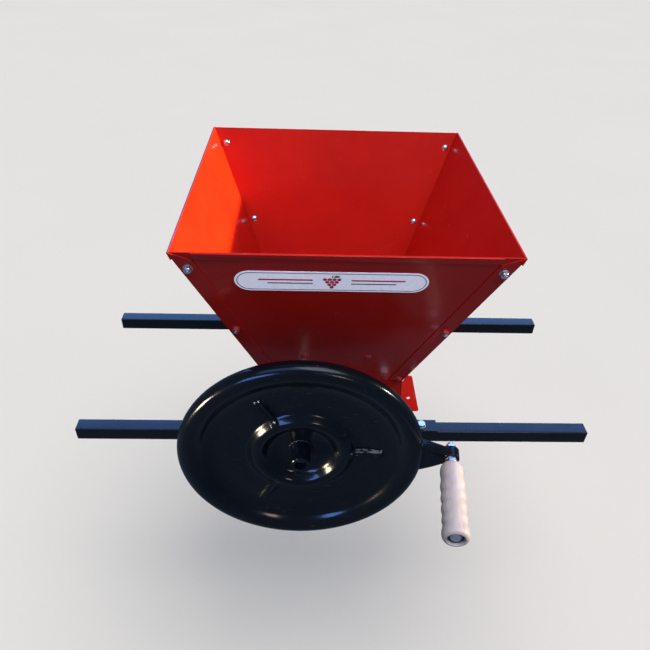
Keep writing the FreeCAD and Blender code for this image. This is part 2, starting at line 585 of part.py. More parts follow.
GUARD_R = 62.0
STUDS = ((-STUD_X, STUD_Z), (STUD_X, STUD_Z))
G0, G1 = 175.0, 198.0
outer = stadium(GUARD_R + 1.5, G0, G1)
try:
    outer = outer.makeFillet(3.0, [e for e in outer.Edges if abs(e.CenterOfMass.y - G1) < 0.01])
except Exception as ex:
    print("guard fillet", ex)
guard = outer
for sx, sz in STUDS:
    cx = XD if sx < 0 else XN
    a = math.atan2(sz - ZA, sx - cx)
    dx, dz_ = math.cos(a), math.sin(a)
    px, pz = -dz_, dx
    r0 = GUARD_R - 6.0
    w = 11.0
    rr = math.hypot(sx - cx, sz - ZA)
    pts = [(cx + dx * r0 + px * w, G0, ZA + dz_ * r0 + pz * w), (cx + dx * rr + px * w, G0, ZA + dz_ * rr + pz * w),
           (cx + dx * rr - px * w, G0, ZA + dz_ * rr - pz * w), (cx + dx * r0 - px * w, G0, ZA + dz_ * r0 - pz * w)]
    tab = prism(pts, (0, 1.5, 0)).fuse(cyl((sx, G0, sz), (0, 1, 0), w, 1.5))
    guard = guard.fuse(tab)
guard = guard.cut(stadium(GUARD_R, G0 - 1, G1 - 1.5)).removeSplitter()
for sx, sz in STUDS:
    guard = guard.cut(cyl((sx, G0 - 2, sz), (0, 1, 0), 3.2, 6))
save("gear_guard", guard)
st, spc, stn = [], [], []
for sx, sz in STUDS:
    st.append(cyl((sx, PLATE_Y - 7.0, sz), (0, 1, 0), 3.0, G0 + 9.0 - (PLATE_Y - 7.0)))
    spc.append(cyl((sx, PLATE_Y + SIDE_T, sz), (0, 1, 0), 6.0, G0 - PLATE_Y - SIDE_T).cut(cyl((sx, PLATE_Y, sz), (0, 1, 0), 3.2, 60)))
    stn.append(nut((sx, G0 + 1.5, sz), (0, 1, 0), 3.0, 10.0, 5.0))
    stn.append(nut((sx, PLATE_Y, sz), (0, -1, 0), 3.0, 10.0, 5.0))
save("guard_studs", *st)
save("guard_spacers", *spc)
save("guard_nuts", *stn)

# =================================================== flywheel
def spline(pts):
    c = Part.BSplineCurve()
    c.interpolate([V(r, y, 0) for r, y in pts])
    return c

# pressed sheet section, as radius and axial position; the front is towards -Y
F = YW
front = [(172.0, F + 14.6), (179.0, F + 16.0), (186.4, F + 14.6), (192.8, F + 10.0), (196.9, F + 3.4), (198.0, F - 3.4), (196.2, F - 9.8), (191.2, F - 15.0), (183.6, F - 17.4), (174.4, F - 16.0), (166.0, F - 11.0), (158.6, F - 4.6), (150.0, F - 0.6),
         (138.0, F + 2.6), (118.0, F + 4.6), (98.0, F + 6.0), (89.0, F + 5.0), (82.5, F - 0.6), (77.0, F - 5.0), (71.0, F - 6.4), (65.0, F - 4.6), (59.5, F + 0.6), (53.5, F + 7.2), (45.0, F + 11.8), (32.0, F + 13.6), (HUB_R, F + 14.0)]
def offset_back(pts, t):
    # same section moved to the sheet's other face
    out = []
    n = len(pts)
    for i, (r, y) in enumerate(pts):
        a = pts[max(0, i - 1)]; b = pts[min(n - 1, i + 1)]
        dr, dy = b[0] - a[0], b[1] - a[1]
        L = math.hypot(dr, dy)
        nr, ny = dy / L, -dr / L
        out.append((r + nr * t, y + ny * t))
    return out
back = offset_back(front, WHEEL_T)
if back[14][1] < front[14][1]:
    back = offset_back(front, -WHEEL_T)
back[-1] = (HUB_R, F + 14.0 + WHEEL_T)
c1, c2 = spline(front), spline(back)
w = Part.Wire([c1.toShape(), Part.LineSegment(V(*front[-1], 0), V(*back[-1], 0)).toShape(),
               c2.toShape(), Part.LineSegment(V(*back[0], 0), V(*front[0], 0)).toShape()])
sec = Part.Face(w)
wheel = sec.revolve(V(0, 0, 0), V(0, 1, 0), 360)
wheel.translate(V(XD, 0, ZA))
if wheel.Volume < 0:
    wheel.reverse()
# three pressed ribs between the inner bead and the rim
RIB_R0, RIB_R1, RIB_W, RIB_H = 84.0, 134.0, 13.0, 3.6
for k in range(3):
    rib = Part.makeBox(RIB_R1 - RIB_R0, RIB_H + 6.5, RIB_W, V(RIB_R0, F - RIB_H, -RIB_W / 2))
    rib = rib.makeFillet(3.0, [e for e in rib.Edges if abs(e.CenterOfMass.y - (F - RIB_H)) < 0.01])
    rib.rotate(V(0, 0, 0), V(0, 1, 0), -120 * k)
    rib.translate(V(XD, 0, ZA))
    wheel = wheel.fuse(rib)
wheel = wheel.removeSplitter()
save("flywheel", wheel)

hub = cyl((XD, -272.0, ZA), (0, 1, 0), HUB_R, 272.0 - 216.0)
hub = hub.makeChamfer(1.0, [e for e in hub.Edges if e.Closed and abs(e.CenterOfMass.y + 272.0) < 0.1])
hub = hub.cut(cyl((XD, -280.0, ZA), (0, 1, 0), SHAFT_R, 70))
HP = cyl((XD, -222.5, ZA - 20.0), (0, 0, 1), 4.0, 40.0)
hub = hub.cut(HP)
SD = SD.cut(HP)
save("flywheel_hub", hub)
save("hub_pin", HP)
save("drive_shaft", SD)
save("driven_shaft", SN)
save("drive_roller", RD)
save("driven_roller", RN)

# =================================================== crank lug, pin and grip
XL = XD + CRANK_R
P0 = V(XL, YW - 2.0, ZA)
lean = math.radians(GRIP_LEAN)
G = V(-math.sin(lean), -math.cos(lean), 0)

def rrect(x, yc, zc, wy, hz, r):
    # rounded rectangle in a plane of constant x
    y0, y1, z0, z1 = yc - wy / 2, yc + wy / 2, zc - hz / 2, zc + hz / 2
    k = r * (1 - math.sqrt(0.5))
    P = lambda y, z: V(x, y, z)
    es = [Part.LineSegment(P(y0 + r, z0), P(y1 - r, z0)).toShape(), Part.Arc(P(y1 - r, z0), P(y1 - k, z0 + k), P(y1, z0 + r)).toShape(),
          Part.LineSegment(P(y1, z0 + r), P(y1, z1 - r)).toShape(), Part.Arc(P(y1, z1 - r), P(y1 - k, z1 - k), P(y1 - r, z1)).toShape(),
          Part.LineSegment(P(y1 - r, z1), P(y0 + r, z1)).toShape(), Part.Arc(P(y0 + r, z1), P(y0 + k, z1 - k), P(y0, z1 - r)).toShape(),
          Part.LineSegment(P(y0, z1 - r), P(y0, z0 + r)).toShape(), Part.Arc(P(y0, z0 + r), P(y0 + k, z0 + k), P(y0 + r, z0)).toShape()]
    return Part.Wire(es)
x_root = XD + WHEEL_R - 8.0
lug = Part.makeLoft([rrect(x_root, YW + 2.0, ZA, 26.0, 62.0, 9.0), rrect(XD + 216.0, YW + 1.0, ZA, 21.0, 46.0, 8.0), rrect(XL - 2.0, YW + 1.0, ZA, 15.0, 24.0, 6.0)], True, False)
boss = Part.makeCylinder(13.0, 20.0, P0 - G * 12.0, G)
boss = boss.makeFillet(2.0, [e for e in boss.Edges if e.Closed and len(e.Vertexes) == 1])
lug = lug.fuse(boss).removeSplitter()
lug = lug.cut(Part.makeCylinder(5.0, 60, P0 - G * 30, G))
lug = lug.cut(wheel)
lug = max(lug.Solids, key=lambda s: s.Volume)
save("crank_lug", lug)

gs = P0 + G * 18.0       # start of the grip, past the lock nut
# grip profile: radius against distance along the pin
prof = [(0.0, 9.5), (2.5, 14.0), (7.0, 17.4), (14.0, 19.2), (22.0, 19.3), (29.0, 18.3), (36.0, 18.9), (46.0, 20.0), (56.0, 18.5), (66.0, 20.0), (76.0, 18.5), (86.0, 20.0),
        (96.0, 18.6), (106.0, 19.8), (115.0, 18.6), (124.0, 20.4), (131.0, 20.6), (136.0, 18.6), (GRIP_L, 15.0)]
c = Part.BSplineCurve(); c.interpolate([V(r, d, 0) for d, r in prof])
CB_R, CB_D = 13.4, 6.4
BORE = 5.08
wg = Part.Wire([c.toShape(), Part.LineSegment(V(15.0, GRIP_L, 0), V(CB_R, GRIP_L, 0)).toShape(),
                Part.LineSegment(V(CB_R, GRIP_L, 0), V(CB_R, GRIP_L - CB_D, 0)).toShape(),
                Part.LineSegment(V(CB_R, GRIP_L - CB_D, 0), V(BORE, GRIP_L - CB_D, 0)).toShape(),
                Part.LineSegment(V(BORE, GRIP_L - CB_D, 0), V(BORE, 0, 0)).toShape(),
                Part.LineSegment(V(BORE, 0, 0), V(9.5, 0, 0)).toShape()])
grip = Part.Face(wg).revolve(V(0, 0, 0), V(0, 1, 0), 360)
if grip.Volume < 0:
    grip.reverse()
# local +Y runs along the pin, away from the lug
place = FreeCAD.Placement(gs, FreeCAD.Rotation(V(0, 1, 0), G))
grip.Placement = place
save("crank_grip", grip)

def along(d):
    return gs + G * d
head_at = along(GRIP_L - CB_D + 2.1)
washer = Part.makeCylinder(12.6, 1.6, along(GRIP_L - CB_D + 0.3), G).cut(Part.makeCylinder(5.0, 8, along(GRIP_L - CB_D - 2), G))
inner = Part.makeCylinder(9.5, 1.6, P0 + G * 16.1, G).cut(Part.makeCylinder(5.0, 8, P0 + G * 14.0, G))
save("grip_washers", washer, inner)
bolt_end = P0 - G * 26.0
shank = Part.makeCylinder(5.0, (head_at - bolt_end).Length, bolt_end, G)
R_ = (8.6 ** 2 + 4.4 ** 2) / (2 * 4.4)
base = along(GRIP_L - CB_D + 1.9)
head = Part.makeSphere(R_, base - G * (R_ - 4.4)).common(Part.makeCylinder(9.5, 6.0, base, G))
crank_bolt = shank.fuse(head).removeSplitter()
save("crank_bolt", crank_bolt)
lock = nut(P0 + G * 8.0, G, 5.0, 17.0, 8.0)
backn = nut(P0 - G * 12.0, G * -1, 5.0, 17.0, 8.0)
save("crank_lock_nuts", lock, backn)

n = len([f for f in os.listdir("parts") if f.endswith(".step")])
print("nodes", n, "wheel volume", round(wheel.Volume), "grip volume", round(grip.Volume))
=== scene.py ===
import bpy, bmesh, json, math
import numpy as np
from mathutils import Vector, Matrix, noise

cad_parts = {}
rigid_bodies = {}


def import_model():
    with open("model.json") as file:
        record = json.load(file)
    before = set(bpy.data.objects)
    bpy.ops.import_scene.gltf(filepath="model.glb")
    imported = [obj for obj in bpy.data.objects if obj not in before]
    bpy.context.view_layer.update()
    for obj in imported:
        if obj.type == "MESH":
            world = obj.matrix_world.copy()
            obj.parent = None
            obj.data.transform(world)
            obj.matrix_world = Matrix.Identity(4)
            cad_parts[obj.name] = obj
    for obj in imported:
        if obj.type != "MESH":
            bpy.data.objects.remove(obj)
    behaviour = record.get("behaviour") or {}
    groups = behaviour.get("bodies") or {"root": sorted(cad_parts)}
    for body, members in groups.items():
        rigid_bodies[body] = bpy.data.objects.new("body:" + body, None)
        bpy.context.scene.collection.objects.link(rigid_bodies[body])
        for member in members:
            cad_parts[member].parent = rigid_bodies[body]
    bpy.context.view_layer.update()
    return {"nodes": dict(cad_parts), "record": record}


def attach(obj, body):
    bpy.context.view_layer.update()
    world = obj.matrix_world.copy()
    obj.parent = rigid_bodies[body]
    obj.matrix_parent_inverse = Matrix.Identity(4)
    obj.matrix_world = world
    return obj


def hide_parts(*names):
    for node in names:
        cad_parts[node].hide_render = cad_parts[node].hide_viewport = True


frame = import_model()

NODES = frame["nodes"]
BODIES = frame["record"]["behaviour"]["bodies"]
BODY_OF = {n: b for b, ns in BODIES.items() for n in ns}
SLOT_OF = {s["node"]: s["material_slot"] for s in frame["record"]["subparts"]}
scene = bpy.context.scene
scene.view_settings.view_transform = "Standard"
scene.view_settings.look = "None"
scene.view_settings.exposure = 0.0

MM = 0.001

# ------------------------------------------------------------------ materials
class Mat:
    def __init__(self, name):
        self.m = bpy.data.materials.new(name)
        self.m.use_nodes = True
        self.nt = self.m.node_tree
        self.nt.nodes.clear()
        self.out = self.nt.nodes.new("ShaderNodeOutputMaterial")
        self.b = self.nt.nodes.new("ShaderNodeBsdfPrincipled")
        self.nt.links.new(self.b.outputs[0], self.out.inputs[0])
        self.co = self.nt.nodes.new("ShaderNodeTexCoord").outputs["Object"]
    def link(self, a, b):
        self.nt.links.new(a, b)
    def setv(self, **kw):
        for k, v in kw.items():
            self.b.inputs[k.replace("_", " ")].default_value = v
    def mapping(self, scale=(1, 1, 1), rot=(0, 0, 0), loc=(0, 0, 0), src=None):
        n = self.nt.nodes.new("ShaderNodeMapping")
        n.inputs["Scale"].default_value = scale
        n.inputs["Rotation"].default_value = rot
        n.inputs["Location"].default_value = loc
        self.link(src or self.co, n.inputs["Vector"])
        return n.outputs[0]
    def noise(self, scale, detail=4.0, rough=0.55, vec=None, dist=0.0, loc=(0, 0, 0)):
        n = self.nt.nodes.new("ShaderNodeTexNoise")
        n.inputs["Scale"].default_value = scale
        n.inputs["Detail"].default_value = detail
        n.inputs["Roughness"].default_value = rough
        n.inputs["Distortion"].default_value = dist
        self.link(vec or self.mapping(loc=loc), n.inputs["Vector"])
        return n.outputs["Fac"]
    def voronoi(self, scale, feature="F1", vec=None, rand=1.0):
        n = self.nt.nodes.new("ShaderNodeTexVoronoi")
        n.feature = feature
        n.inputs["Scale"].default_value = scale
        n.inputs["Randomness"].default_value = rand
        self.link(vec or self.co, n.inputs["Vector"])
        return n.outputs["Distance"]
    def ramp(self, fac, stops):
        n = self.nt.nodes.new("ShaderNodeValToRGB")
        e = n.color_ramp.elements
        while len(e) < len(stops):
            e.new(0.5)
        for el, (p, c) in zip(e, stops):
            el.position = p
            el.color = c if len(c) == 4 else (*c, 1.0)
        self.link(fac, n.inputs["Fac"])
        return n.outputs["Color"]
    def remap(self, fac, a, b, c, d):
        n = self.nt.nodes.new("ShaderNodeMapRange")
        for k, v in zip(("From Min", "From Max", "To Min", "To Max"), (a, b, c, d)):
            n.inputs[k].default_value = v
        n.clamp = True
        self.link(fac, n.inputs["Value"])
        return n.outputs["Result"]
    def math(self, op, a, b):
        n = self.nt.nodes.new("ShaderNodeMath")
        n.operation = op
        for i, v in enumerate((a, b)):
            if isinstance(v, (int, float)):
                n.inputs[i].default_value = v
            else:
                self.link(v, n.inputs[i])
        return n.outputs[0]
    def mix(self, fac, a, b):
        n = self.nt.nodes.new("ShaderNodeMix")
        n.data_type = "RGBA"
        for sock, v in ((n.inputs["Factor"], fac), (n.inputs[6], a), (n.inputs[7], b)):
            if isinstance(v, (int, float)):
                sock.default_value = v
            elif isinstance(v, tuple):
                sock.default_value = v if len(v) == 4 else (*v, 1.0)
            else:
                self.link(v, sock)
        return n.outputs[2]
    def bump(self, height, strength, distance, normal=None):
        n = self.nt.nodes.new("ShaderNodeBump")
        n.inputs["Strength"].default_value = strength
        n.inputs["Distance"].default_value = distance
        self.link(height, n.inputs["Height"])
        if normal is not None:
            self.link(normal, n.inputs["Normal"])
        return n.outputs[0]
    def upness(self):
        # how far the surface faces upwards, for settled dust
        g = self.nt.nodes.new("ShaderNodeNewGeometry")
        s = self.nt.nodes.new("ShaderNodeSeparateXYZ")
        self.link(g.outputs["Normal"], s.inputs[0])
        return s.outputs["Z"]


def enamel(name, light, dark, dust_col, dust_amt, rough=(0.12, 0.26), wave=0.16, peel=0.04, coat=0.35, spec=0.4):
    m = Mat(name)
    cloud = m.noise(5.0, 5, 0.6)
    col = m.mix(m.remap(cloud, 0.3, 0.7, 0.0, 1.0), dark, light)
    # fine dust specks and a soft film on upward faces
    speck = m.remap(m.noise(900.0, 2, 0.5), 0.66, 0.74, 0.0, 1.0)
    film = m.remap(m.noise(28.0, 6, 0.7), 0.40, 0.75, 0.0, 1.0)
    up = m.remap(m.upness(), 0.15, 1.0, 0.12, 1.0)
    dust = m.math("MULTIPLY", m.math("MULTIPLY", m.math("ADD", m.math("MULTIPLY", speck, 0.6), film), up), dust_amt)
    col = m.mix(dust, col, dust_col)
    # thin scratches
    sc = m.mapping(scale=(6.0, 60.0, 220.0), rot=(0.3, 0.5, 0.8))
    scr = m.remap(m.noise(9.0, 3, 0.5, vec=sc), 0.715, 0.76, 0.0, 0.35)
    col = m.mix(scr, col, dust_col)
    m.link(col, m.b.inputs["Base Color"])
    r = m.remap(m.noise(16.0, 5, 0.65), 0.3, 0.75, rough[0], rough[1])
    r = m.math("ADD", r, m.math("MULTIPLY", dust, 0.5))
    m.link(r, m.b.inputs["Roughness"])
    n1 = m.bump(m.noise(7.0, 2, 0.4), wave, 0.004)
    n2 = m.bump(m.noise(420.0, 2, 0.5), peel, 0.0006, n1)
    n3 = m.bump(scr, 0.12, 0.0002, n2)
    m.link(n3, m.b.inputs["Normal"])
    m.setv(Coat_Weight=coat, Coat_Roughness=0.05, Coat_IOR=1.5, Metallic=0.0, Specular_IOR_Level=spec)
    m.link(n1, m.b.inputs["Coat Normal"])
    return m.m


def metal(name, a, b, rough=(0.22, 0.42), grain=(1, 1, 1), grain_scale=260.0, stain=None, stain_amt=0.0, bump=0.08):
    m = Mat(name)
    v = m.mapping(scale=grain)
    g = m.noise(grain_scale, 4, 0.6, vec=v)
    col = m.mix(m.remap(m.noise(60.0, 4, 0.6), 0.3, 0.7, 0, 1), a, b)
    if stain:
        st = m.remap(m.noise(45.0, 6, 0.7, loc=(3, 1, 2)), 0.52, 0.74, 0.0, stain_amt)
        col = m.mix(st, col, stain)
    m.link(col, m.b.inputs["Base Color"])
    m.link(m.remap(g, 0.25, 0.75, rough[0], rough[1]), m.b.inputs["Roughness"])
    m.link(m.bump(g, bump, 0.0004), m.b.inputs["Normal"])
    m.setv(Metallic=1.0)
    return m.m


def plastic(name, a, b, rough=(0.4, 0.6), scale=600.0, bump=0.1):
    m = Mat(name)
    col = m.mix(m.remap(m.noise(30.0, 4, 0.6), 0.3, 0.7, 0, 1), a, b)
    m.link(col, m.b.inputs["Base Color"])
    m.link(m.remap(m.noise(80.0, 4, 0.6), 0.3, 0.7, rough[0], rough[1]), m.b.inputs["Roughness"])
    m.link(m.bump(m.noise(scale, 2, 0.5), bump, 0.0004), m.b.inputs["Normal"])
    return m.m


RED = enamel("red_enamel", (0.58, 0.014, 0.006), (0.49, 0.008, 0.004), (0.60, 0.30, 0.22), 0.022, rough=(0.16, 0.30), coat=0.10, spec=0.18)
RED_BOLT = enamel("red_enamel_on_bolts", (0.50, 0.02, 0.02), (0.38, 0.01, 0.012), (0.75, 0.55, 0.5), 0.16, rough=(0.18, 0.35), wave=0.0)
BLACK = enamel("black_enamel", (0.0018, 0.0030, 0.0046), (0.0012, 0.0021, 0.0032), (0.20, 0.22, 0.24), 0.006, rough=(0.13, 0.25), wave=0.12, peel=0.08, coat=0.10, spec=0.14)
BLACK_BAR = enamel("black_enamel_bars", (0.0050, 0.0060, 0.0085), (0.0036, 0.0045, 0.0065), (0.32, 0.31, 0.28), 0.018, rough=(0.20, 0.34), wave=0.05, peel=0.10, coat=0.10, spec=0.24)
ZINC = metal("zinc_plate", (0.74, 0.76, 0.80), (0.60, 0.63, 0.68), rough=(0.20, 0.40), stain=(0.46, 0.43, 0.36), stain_amt=0.5)
STEEL = metal("bright_drawn_steel", (0.62, 0.62, 0.63), (0.52, 0.52, 0.54), rough=(0.20, 0.38), grain=(6, 0.4, 6), grain_scale=420.0, stain=(0.28, 0.22, 0.17), stain_amt=0.35)
ALU = metal("cast_aluminium", (0.70, 0.70, 0.69), (0.58, 0.58, 0.58), rough=(0.36, 0.58), grain_scale=520.0, stain=(0.40, 0.38, 0.35), stain_amt=0.4, bump=0.22)
IRON = metal("greased_cast_iron", (0.22, 0.22, 0.23), (0.15, 0.15, 0.16), rough=(0.28, 0.5), grain_scale=300.0, stain=(0.10, 0.075, 0.05), stain_amt=0.7, bump=0.2)
NYLON = plastic("natural_nylon", (0.82, 0.80, 0.73), (0.76, 0.73, 0.65), rough=(0.35, 0.5))
PLUG = plastic("black_plug_plastic", (0.020, 0.020, 0.021), (0.014, 0.014, 0.015), rough=(0.42, 0.62))
FOIL = plastic("label_foil", (0.80, 0.78, 0.85), (0.76, 0.74, 0.81), rough=(0.22, 0.34), bump=0.03)
INK_RED = plastic("label_ink_wine", (0.36, 0.015, 0.04), (0.30, 0.012, 0.035), rough=(0.25, 0.38), bump=0.03)
INK_DARK = plastic("label_ink_dark", (0.030, 0.028, 0.045), (0.024, 0.022, 0.038), rough=(0.25, 0.38), bump=0.03)
INK_GREEN = plastic("label_ink_leaf", (0.05, 0.14, 0.05), (0.04, 0.12, 0.04), rough=(0.25, 0.38), bump=0.03)

XD, XN, ZA, YW = -59.0, 49.0, 54.0, -248.0
LEAN = math.radians(8.0)
G = Vector((-math.sin(LEAN), -math.cos(LEAN), 0.0))
P0 = Vector((XD + 246.0, YW - 2.0, ZA))
GS = P0 + G * 18.0


def beech():
    m = Mat("turned_beech")
    # grain runs along the grip's axis
    ang = math.atan2(G.x, -G.y)
    v = m.mapping(rot=(0, 0, -ang), loc=(0, 0, 0))
    long_v = m.mapping(scale=(1.0, 0.07, 1.0), src=v)
    g1 = m.noise(95.0, 6, 0.65, vec=long_v, dist=0.6)
    g2 = m.noise(420.0, 3, 0.5, vec=long_v)
    col = m.ramp(g1, [(0.30, (0.54, 0.39, 0.28)), (0.50, (0.63, 0.48, 0.36)), (0.68, (0.70, 0.56, 0.43))])
    # beech flecks: short dark dashes along the grain
    fl_v = m.mapping(scale=(1.0, 0.22, 1.0), src=v)
    fleck = m.remap(m.noise(900.0, 2, 0.4, vec=fl_v), 0.64, 0.72, 0.0, 0.55)
    col = m.mix(fleck, col, (0.36, 0.21, 0.13))
    grime = m.remap(m.noise(26.0, 5, 0.6), 0.45, 0.8, 0.0, 0.35)
    col = m.mix(grime, col, (0.44, 0.32, 0.25))
    m.link(col, m.b.inputs["Base Color"])
    m.link(m.remap(g2, 0.3, 0.7, 0.42, 0.62), m.b.inputs["Roughness"])
    n1 = m.bump(g2, 0.18, 0.0005)
    n2 = m.bump(fleck, 0.10, 0.0002, n1)
    m.link(n2, m.b.inputs["Normal"])
    m.setv(Coat_Weight=0.12, Coat_Roughness=0.35)
    return m.m
BEECH = beech()

# ------------------------------------------------------------------ helpers
def new_obj(name, me, body, mat, slot, *nodes):
    o = bpy.data.objects.new(name, me)
    scene.collection.objects.link(o)
    me.materials.clear()
    me.materials.append(mat)
    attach(o, body)
    if nodes:
        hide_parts(*nodes)
    return o


def soften(node, mat, width=0.5, angle=28.0, seg=2, name=None, second=None, merge=True):
    """A copy of a CAD node with small rounded edges, for the light to catch."""
    src = NODES[node].data
    bm = bmesh.new()
    bm.from_mesh(src)
    bmesh.ops.remove_doubles(bm, verts=bm.verts, dist=2e-6)
    if merge:
        bmesh.ops.dissolve_limit(bm, angle_limit=math.radians(0.6), use_dissolve_boundaries=False, verts=bm.verts, edges=bm.edges)
    bmesh.ops.recalc_face_normals(bm, faces=bm.faces)
    me = bpy.data.meshes.new(name or node + "_finished")
    bm.to_mesh(me)
    bm.free()
    me.shade_smooth()
    me.set_sharp_from_angle(angle=math.radians(angle))
    o = new_obj(name or node + "_finished", me, BODY_OF[node], mat, SLOT_OF[node], node)
    if second:
        # some of the node's solids have another finish
        mat2, where = second
        me.materials.append(mat2)
        for p in me.polygons:
            if where(p.center):
                p.material_index = 1
    if width > 0:
        b = o.modifiers.new("edge", "BEVEL")
        b.width = width * MM
        b.segments = seg
        b.limit_method = "ANGLE"
        b.angle_limit = math.radians(angle)
        b.use_clamp_overlap = True
        b.harden_normals = True
    return o


def grid_mesh(name, rows, closed_u=True, closed_v=False):
    """Quads over rows[i][j] of points; u runs along a row."""
    n, m = len(rows), len(rows[0])
    verts = [p for r in rows for p in r]
    faces = []
    for i in range(n if closed_v else n - 1):
        for j in range(m if closed_u else m - 1):
            a = i * m + j
            b = i * m + (j + 1) % m
            c = ((i + 1) % n) * m + (j + 1) % m
            d = ((i + 1) % n) * m + j
            faces.append((a, b, c, d))
    me = bpy.data.meshes.new(name)
    me.from_pydata([tuple(v) for v in verts], [], faces)
    me.validate()
    me.shade_smooth()
    return me


def catmull(pts, step):
    """Smooth curve through the points, sampled about every step."""
    P = np.array(pts, float)
    P = np.vstack([2 * P[0] - P[1], P, 2 * P[-1] - P[-2]])
    out = []
    for i in range(1, len(P) - 2):
        p0, p1, p2, p3 = P[i - 1], P[i], P[i + 1], P[i + 2]
        k = max(2, int(np.linalg.norm(p2 - p1) / step))
        t0 = 0.0
        t1 = t0 + np.linalg.norm(p1 - p0) ** 0.5
        t2 = t1 + np.linalg.norm(p2 - p1) ** 0.5
        t3 = t2 + np.linalg.norm(p3 - p2) ** 0.5
        for q in range(k):
            t = t1 + (t2 - t1) * q / k
            a1 = (t1 - t) / (t1 - t0) * p0 + (t - t0) / (t1 - t0) * p1
            a2 = (t2 - t) / (t2 - t1) * p1 + (t - t1) / (t2 - t1) * p2
            a3 = (t3 - t) / (t3 - t2) * p2 + (t - t2) / (t3 - t2) * p3
            b1 = (t2 - t) / (t2 - t0) * a1 + (t - t0) / (t2 - t0) * a2
            b2 = (t3 - t) / (t3 - t1) * a2 + (t - t1) / (t3 - t1) * a3
            out.append((t2 - t) / (t2 - t1) * b1 + (t - t1) / (t2 - t1) * b2)
    out.append(P[-2])
    return np.array(out)


def smooth(a, b, x):
    t = min(1.0, max(0.0, (x - a) / (b - a)))
    return t * t * (3 - 2 * t)

# ------------------------------------------------------------------ flywheel
F = YW
front = [(172.0, F + 14.6), (179.0, F + 16.0), (186.4, F + 14.6), (192.8, F + 10.0), (196.9, F + 3.4), (198.0, F - 3.4), (196.2, F - 9.8), (191.2, F - 15.0), (183.6, F - 17.4), (174.4, F - 16.0), (166.0, F - 11.0), (158.6, F - 4.6), (150.0, F - 0.6),
         (138.0, F + 2.6), (118.0, F + 4.6), (98.0, F + 6.0), (89.0, F + 5.0), (82.5, F - 0.6), (77.0, F - 5.0), (71.0, F - 6.4), (65.0, F - 4.6), (59.5, F + 0.6), (53.5, F + 7.2), (45.0, F + 11.8), (32.0, F + 13.6), (16.0, F + 14.0)]
prof = catmull(front, 1.6)
tang = np.gradient(prof, axis=0)
tang /= np.linalg.norm(tang, axis=1)[:, None]
nrm = np.stack([tang[:, 1], -tang[:, 0]], 1)
if nrm[len(nrm) // 2][1] < 0:
    nrm = -nrm
backp = prof + nrm * 2.9
# rolled lip closes the outer edge
NA = 720
def rib(r, a):
    h = 0.0
    for k in range(3):
        t = math.radians(120 * k)
        # angle measured from +X towards +Z
        along = r * math.cos(a - t)
        across = abs(r * math.sin(a - t))
        if along > 60:
            side = 1 - smooth(4.4, 7.0, across)
            end = smooth(76, 86, along) * (1 - smooth(131.0, 136.5, along))
            groove = 0.28 * (1 - smooth(1.4, 3.6, across))
            h = max(h, side * end * (1 - groove) * (1.0 - 0.28 * smooth(110, 134, along)))
    return 6.4 * h
rows = []
ang = [2 * math.pi * j / NA for j in range(NA)]
for i, (r, y) in enumerate(prof):
    rows.append([Vector((XD + r * math.cos(a), y - rib(r, a), ZA + r * math.sin(a))) * MM for a in ang])
for i in range(len(backp) - 1, -1, -1):
    r, y = backp[i]
    rows.append([Vector((XD + r * math.cos(a), y - rib(r, a) * 0.9, ZA + r * math.sin(a))) * MM for a in ang])
wheel_me = grid_mesh("flywheel_pressed", rows, True, True)
bm = bmesh.new(); bm.from_mesh(wheel_me)
bmesh.ops.recalc_face_normals(bm, faces=bm.faces); bm.to_mesh(wheel_me); bm.free()
wheel_me.shade_smooth()
wheel_me.set_sharp_from_angle(angle=math.radians(50))
new_obj("flywheel_pressed", wheel_me, BODY_OF["flywheel"], BLACK, "black_paint", "flywheel")


def bead(name, centre, axis, radius, r, mat, body, slot, n=180, seed=0.0, squash=0.75):
    """Weld bead: a ring with the ripples of a hand-laid seam."""
    axis = Vector(axis).normalized()
    u = axis.orthogonal().normalized(); w = axis.cross(u)
    rows = []
    for i in range(n):
        a = 2 * math.pi * i / n
        d = u * math.cos(a) + w * math.sin(a)
        ripple = 1 + 0.13 * math.sin(a * 34 + 2.0 * noise.noise(Vector((a * 3, seed, 0)))) + 0.14 * noise.noise(Vector((math.cos(a) * 4, math.sin(a) * 4, seed)))
        c = Vector(centre) + d * (radius + 0.3 * noise.noise(Vector((a * 5, 0, seed))))
        rows.append([(c + (d * math.cos(t) + axis * math.sin(t) * squash) * r * ripple) * MM for t in [2 * math.pi * k / 12 for k in range(12)]])
    me = grid_mesh(name, rows, True, True)
    return new_obj(name, me, body, mat, slot)

bead("hub_weld_front", (XD, F + 13.4, ZA), (0, -1, 0), 16.8, 2.6, BLACK, "crank", "black_paint", seed=1.0)
bead("hub_weld_back", (XD, F + 17.4, ZA), (0, 1, 0), 16.8, 2.6, BLACK, "crank", "black_paint", seed=5.0)

